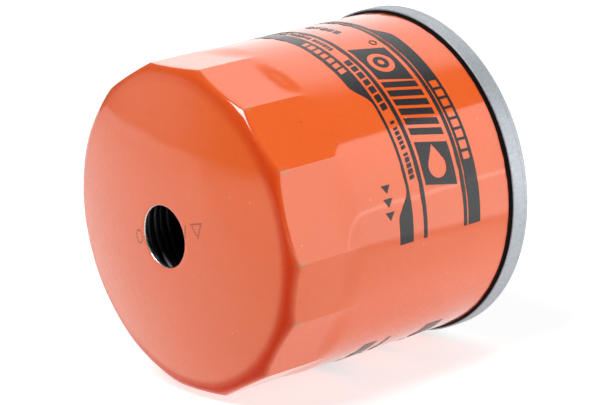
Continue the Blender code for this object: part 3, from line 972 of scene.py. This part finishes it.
def perforated_tube():
    """The centre tube, with its staggered holes."""
    low, top, outer = node_span("center_tube")
    inner, rows, holes, hole_r = outer - 0.6, 5, 6, 1.7
    outline = [(outer, low, 0.12), (outer, top, 0.12), (inner, top, 0.12), (inner, low, 0.12)]
    drills = []
    for row in range(rows):
        for i in range(holes):
            angle = TAU * (i + 0.5 * (row % 2)) / holes
            drill = turned("drill", [(0, -2), (hole_r, -2), (hole_r, 2), (0, 2)], 28)
            drill.transform(Matrix.Rotation(math.pi / 2, 4, "X"))
            drill.transform(Matrix.Rotation(math.pi / 2 - angle, 4, "Y"))
            depth = low + (row + 1) * (top - low) / (rows + 1)
            drill.transform(Matrix.Translation(point((inner + outer) / 2, angle, depth)))
            drills.append(drill)
    mesh = carve(turned("perforated_tube", outline, 120), joined("drills", drills))
    stand_in("perforated_tube", "center_tube", mesh, STEEL, "element")


def folded_paper():
    """The pleats: rounded folds, with shallow rows pressed into the paper to keep them apart."""
    low, top, _ = node_span("pleated_media")
    pleats, radii, tip, half_paper, rows = 36, (12.9, 28.35), 0.5, 0.35, 24
    corners = []
    for i in range(2 * pleats):
        angle, radius = TAU * i / (2 * pleats), radii[i % 2]
        for side in (-1, 1):
            turn = angle + side * tip / radius
            corners.append((radius * math.cos(turn), radius * math.sin(turn), 0.45))
    path = filleted(corners)
    columns = []
    for i, here in enumerate(path):
        before = (here - path[i - 1]).normalized()
        after = (path[(i + 1) % len(path)] - here).normalized()
        normal = Vector((before.y + after.y, -before.x - after.x)).normalized()
        reach = half_paper / max(0.6, abs(normal.dot(Vector((before.y, -before.x)))))
        column = []
        for side in (1, -1):
            for step in range(rows + 1):
                share = step / rows if side > 0 else 1 - step / rows
                press = 0.04 * math.cos(TAU * 6 * share)
                place = here + normal * (side * reach + press - 0.04 * side)
                column.append(Vector((place.x, -low - (top - low) * share, place.y)) * MM)
        columns.append(column)
    mesh = loft("folded_paper", columns)
    stand_in("folded_paper", "pleated_media", mesh, PAPER, "element", 60)


def seam_clip():
    """The folded strip that joins the two ends of the paper, crimped along its length."""
    low, top, _ = node_span("pleat_clip")
    half, wall, inner, outer, rows = 0.65, 0.35, 23.6, 28.6, 40
    section = [
        (outer, -half), (outer, half), (inner, half), (inner, half - wall),
        (outer - wall, half - wall), (outer - wall, wall - half), (inner, wall - half), (inner, -half),
    ]
    shape = bmesh.new()
    levels = []
    for row in range(rows + 1):
        share = row / rows
        pinch = 1 - 0.10 * (0.5 - 0.5 * math.cos(TAU * 8 * share))
        depth = low + (top - low) * share
        levels.append([shape.verts.new(Vector((x, -depth, y * pinch)) * MM) for x, y in section])
    skin(shape, levels)
    mesh = mesh_from("seam_clip", shape)
    stand_in("seam_clip", "pleat_clip", mesh, STEEL, "element")


def poppet():
    """The bypass valve's plate with its boss and guide stem."""
    tip, boss, outer = node_span("bypass_poppet")
    low, high, stem_r = 48.3, 49.1, 2.0
    outline = [
        (0, boss), (5.3, boss, 0.3),
        (5.6, high, 0.15), (outer, high, 0.25),
        (outer, low, 0.25), (stem_r, low, 0.5),
        (stem_r, tip, 0.5), (0, tip),
    ]
    mesh = turned("poppet_plate", outline, 96)
    stand_in("poppet_plate", "bypass_poppet", mesh, STEEL, "bypass")


def spring_cup():
    """The cup round the bypass spring, with four windows for the oil."""
    low, top, outer = node_span("bypass_cage")
    inner, hole = outer - 0.6, 3.2
    outline = [
        (outer, top, 0.15), (outer, low, 0.9), (hole, low, 0.15),
        (hole, low + 0.6, 0.15), (inner, low + 0.6, 0.4), (inner, top, 0.15),
    ]
    cutters = []
    for i in range(4):
        shape = bmesh.new()
        turn = Matrix.Rotation(-TAU * (i + 0.5) / 4, 4, "Y")
        place = turn @ Matrix.Translation(Vector((outer, -low - 6.2, 0)) * MM)
        size = Matrix.Diagonal((4 * MM, 6.5 * MM, 6 * MM, 1))
        bmesh.ops.create_cube(shape, size=1, matrix=place @ size)
        edges = [e for e in shape.edges if abs((e.verts[0].co - e.verts[1].co).length - 4 * MM) < 1e-5]
        bmesh.ops.bevel(shape, geom=edges, offset=1.2 * MM, segments=5, affect="EDGES", profile=0.5)
        cutters.append(mesh_from("window", shape))
    mesh = carve(turned("spring_cup", outline, 96), joined("windows", cutters))
    stand_in("spring_cup", "bypass_cage", mesh, STEEL, "element")


def seat_ring():
    """The pressed ring that centres the load spring."""
    low, lip, outer = node_span("spring_seat")
    inner, t = 8.0, 0.6
    outline = [
        (outer, lip, 0.12), (outer, low, 0.6), (inner, low, 0.12),
        (inner, low + t, 0.12), (outer - t, low + t, 0.3), (outer - t, lip, 0.12),
    ]
    mesh = turned("seat_ring", outline, 120)
    stand_in("seat_ring", "spring_seat", mesh, SHADED_STEEL, "element")


def coil(name, radii, low, high, wire_r, turns):
    """A compression spring between two depths, with a closed and ground turn at each end."""
    per_turn, around = 48, 14
    count = int(turns * per_turn)
    pitch = 2.15 * wire_r
    bottom, top = low + wire_r, high - wire_r
    path = []
    for i in range(count + 1):
        turn = turns * i / count
        climb = (turn - 1) / (turns - 2)
        if turn < 1:
            z = bottom + pitch * turn
        elif turn > turns - 1:
            z = top - pitch * (turns - turn)
        else:
            z = bottom + pitch + (top - bottom - 2 * pitch) * climb
        radius = radii[0] + (radii[1] - radii[0]) * min(1, max(0, climb))
        path.append((radius, TAU * turn, z))
    shape = bmesh.new()
    rings = []
    for radius, angle, z in path:
        ring = []
        for j in range(around):
            a = TAU * j / around
            depth = min(high, max(low, z + wire_r * math.sin(a)))
            ring.append(shape.verts.new(point(radius + wire_r * math.cos(a), angle, depth)))
        rings.append(ring)
    skin(shape, rings)
    return mesh_from(name, shape)


def squashed_spring(name, node, body, radii, wire_r, turns):
    """A coil spring that stands in for a CAD node, on a mesh of its own."""
    low, high, _ = node_span(node)
    mesh = coil(name, radii, low, high, wire_r, turns)
    made = stand_in(name, node, mesh, WIRE, body, 50)
    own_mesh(made)


can()
prints()
dome_marks()
lid()
seam_gap_shadow()
sealing_ring()
plate()
weld_marks()
drainback_valve()
ring("collar_washer", "element_seal", 9.89, (0.2, 0.2), 96, RUBBER, "black_rubber")
ring("groove_sealant", "seam_compound", CAN_R - SHEET, (0.25, 0.25), 192, SEALANT, "seam_sealant")
end_cap("lower_cap", "lower_end_disc", 10.4, ELEMENT_LOW, 1)
end_cap("upper_cap", "upper_end_disc", 6.0, ELEMENT_TOP, -1)
glue_bed("lower_glue_bed", "lower_adhesive")
glue_bed("upper_glue_bed", "upper_adhesive")
perforated_tube()
folded_paper()
seam_clip()
poppet()
ring("poppet_seal", "bypass_seal", 5.9, (0.4, 0.2), 96, RUBBER, "black_rubber", "bypass")
spring_cup()
seat_ring()
squashed_spring("load_coil", "load_spring", "housing", (14.6, 9.6), 1.0, 4)
squashed_spring("bypass_coil", "bypass_spring", "element", (4.7, 4.7), 0.45, 5)


# ---------------------------------------------------------------- stage, light and camera


def along(s, x, y):
    """Distance in millimetres across the floor in the direction (x, y)."""
    parts = s.node("ShaderNodeSeparateXYZ")
    s.feed(parts.inputs[0], s.place)
    part_x = s.math("MULTIPLY", parts.outputs["X"], x)
    return s.math("ADD", part_x, s.math("MULTIPLY", parts.outputs["Y"], y))


def stage():
    """A pale floor, level with the filter's lowest edge, lit from below like a photographer's table.

    The glow is brightest behind the filter and fades on the side of its dome and printed wall, so
    the paint mirrors a dark edge low down and white further up.
    """
    floor_z = CAD_BOX[0][2] - 0.1 * MM
    shape = bmesh.new()
    bmesh.ops.create_grid(shape, x_segments=2, y_segments=2, size=3.0)
    mesh = bpy.data.meshes.new("floor")
    shape.to_mesh(mesh)
    shape.free()
    floor = bpy.data.objects.new("floor", mesh)
    floor.location = (0, 0, floor_z)
    bpy.context.scene.collection.objects.link(floor)
    s = Shader("pale_floor", Roughness=0.9)
    s.set("Base Color", s.mix(s.noise(40, 3), (0.47, 0.47, 0.47), (0.49, 0.49, 0.49)))
    s.bsdf.inputs["Emission Color"].default_value = (1, 1, 1, 1)
    front = along(s, 0.766, -0.643)
    right = along(s, 0.75, 0.66)
    near = s.spread(front, 40, 100, 0.36, 0.02, smooth=True)
    near = s.math("MULTIPLY", near, s.spread(right, 60, 74, 1, 0.2, smooth=True))
    far = s.spread(right, 76, 96, 0, 1.15, smooth=True)
    even = 0.33
    s.set("Emission Strength", s.math("ADD", s.math("ADD", near, far), even))
    s.bsdf.inputs["Specular IOR Level"].default_value = 0.1
    mesh.materials.append(s.material)


def softbox(name, azimuth, elevation, distance, width, height, power, soft):
    """An area light that faces the filter from that side. Azimuth 0 is on the -Y side, 90 on +X."""
    a, e = math.radians(azimuth), math.radians(elevation)
    away = Vector((math.sin(a) * math.cos(e), -math.cos(a) * math.cos(e), math.sin(e)))
    data = bpy.data.lights.new(name, "AREA")
    data.shape = "RECTANGLE"
    data.size, data.size_y = width, height
    data.energy = power
    light = bpy.data.objects.new(name, data)
    light.location = Vector((0, -0.03, 0)) + away * distance
    light.rotation_mode = "QUATERNION"
    light.rotation_quaternion = (-away).to_track_quat("-Z", "Y")
    light.visible_camera = False
    bpy.context.scene.collection.objects.link(light)

    # The box fades towards its edges, as cloth over a lamp does.
    nodes = Nodes(data)
    across = nodes.node("ShaderNodeSeparateXYZ")
    nodes.feed(across.inputs[0], nodes.node("ShaderNodeNewGeometry").outputs["Parametric"])
    fades = []
    for axis in ("X", "Y"):
        inward = nodes.math("PINGPONG", across.outputs[axis], 0.5)
        fades.append(nodes.spread(inward, 0, soft, smooth=True))
    nodes.feed(nodes.tree.nodes["Emission"].inputs["Strength"], nodes.math("MULTIPLY", *fades))


def lights():
    """Soft boxes behind, above, right of and in front of the filter, and a dim even world."""
    softbox("top_back_box", -150, 28, 1.1, 1.6, 1.4, 9, 0.18)
    softbox("overhead_box", 180, 72, 1.1, 0.7, 0.4, 3, 0.3)
    softbox("right_card", 120, 15.5, 1.0, 1.3, 0.8, 6.2, 0.05)
    softbox("key_box", 8, 58, 1.2, 0.5, 0.6, 18, 0.15)
    softbox("left_card", -55, 8, 1.2, 1.2, 0.8, 1.8, 0.45)
    world = bpy.data.worlds.new("studio")
    world.use_nodes = True
    world.node_tree.nodes["Background"].inputs["Color"].default_value = (1, 1, 1, 1)
    world.node_tree.nodes["Background"].inputs["Strength"].default_value = 0.12
    bpy.context.scene.world = world


def camera():
    """Looks at the filter three-quarters on from its domed end, a little above the axis."""
    azimuth, elevation, roll = (math.radians(x) for x in (49.95, 13.95, -4.43))
    aim, distance = Vector((0.32, -31.12, -0.99)) * MM, 0.558
    back = Vector((
        math.sin(azimuth) * math.cos(elevation),
        -math.cos(azimuth) * math.cos(elevation),
        math.sin(elevation),
    ))
    data = bpy.data.cameras.new("camera")
    data.sensor_width = 36
    data.lens = 164.41
    data.clip_start, data.clip_end = 0.01, 20
    made = bpy.data.objects.new("camera", data)
    made.location = aim + back * distance
    made.rotation_mode = "QUATERNION"
    level = (-back).to_track_quat("-Z", "Y")
    made.rotation_quaternion = level @ Euler((0, 0, roll)).to_quaternion()
    bpy.context.scene.collection.objects.link(made)
    bpy.context.scene.camera = made


stage()
lights()
camera()
bpy.context.scene.view_settings.view_transform = "Standard"

bpy.context.view_layer.update()
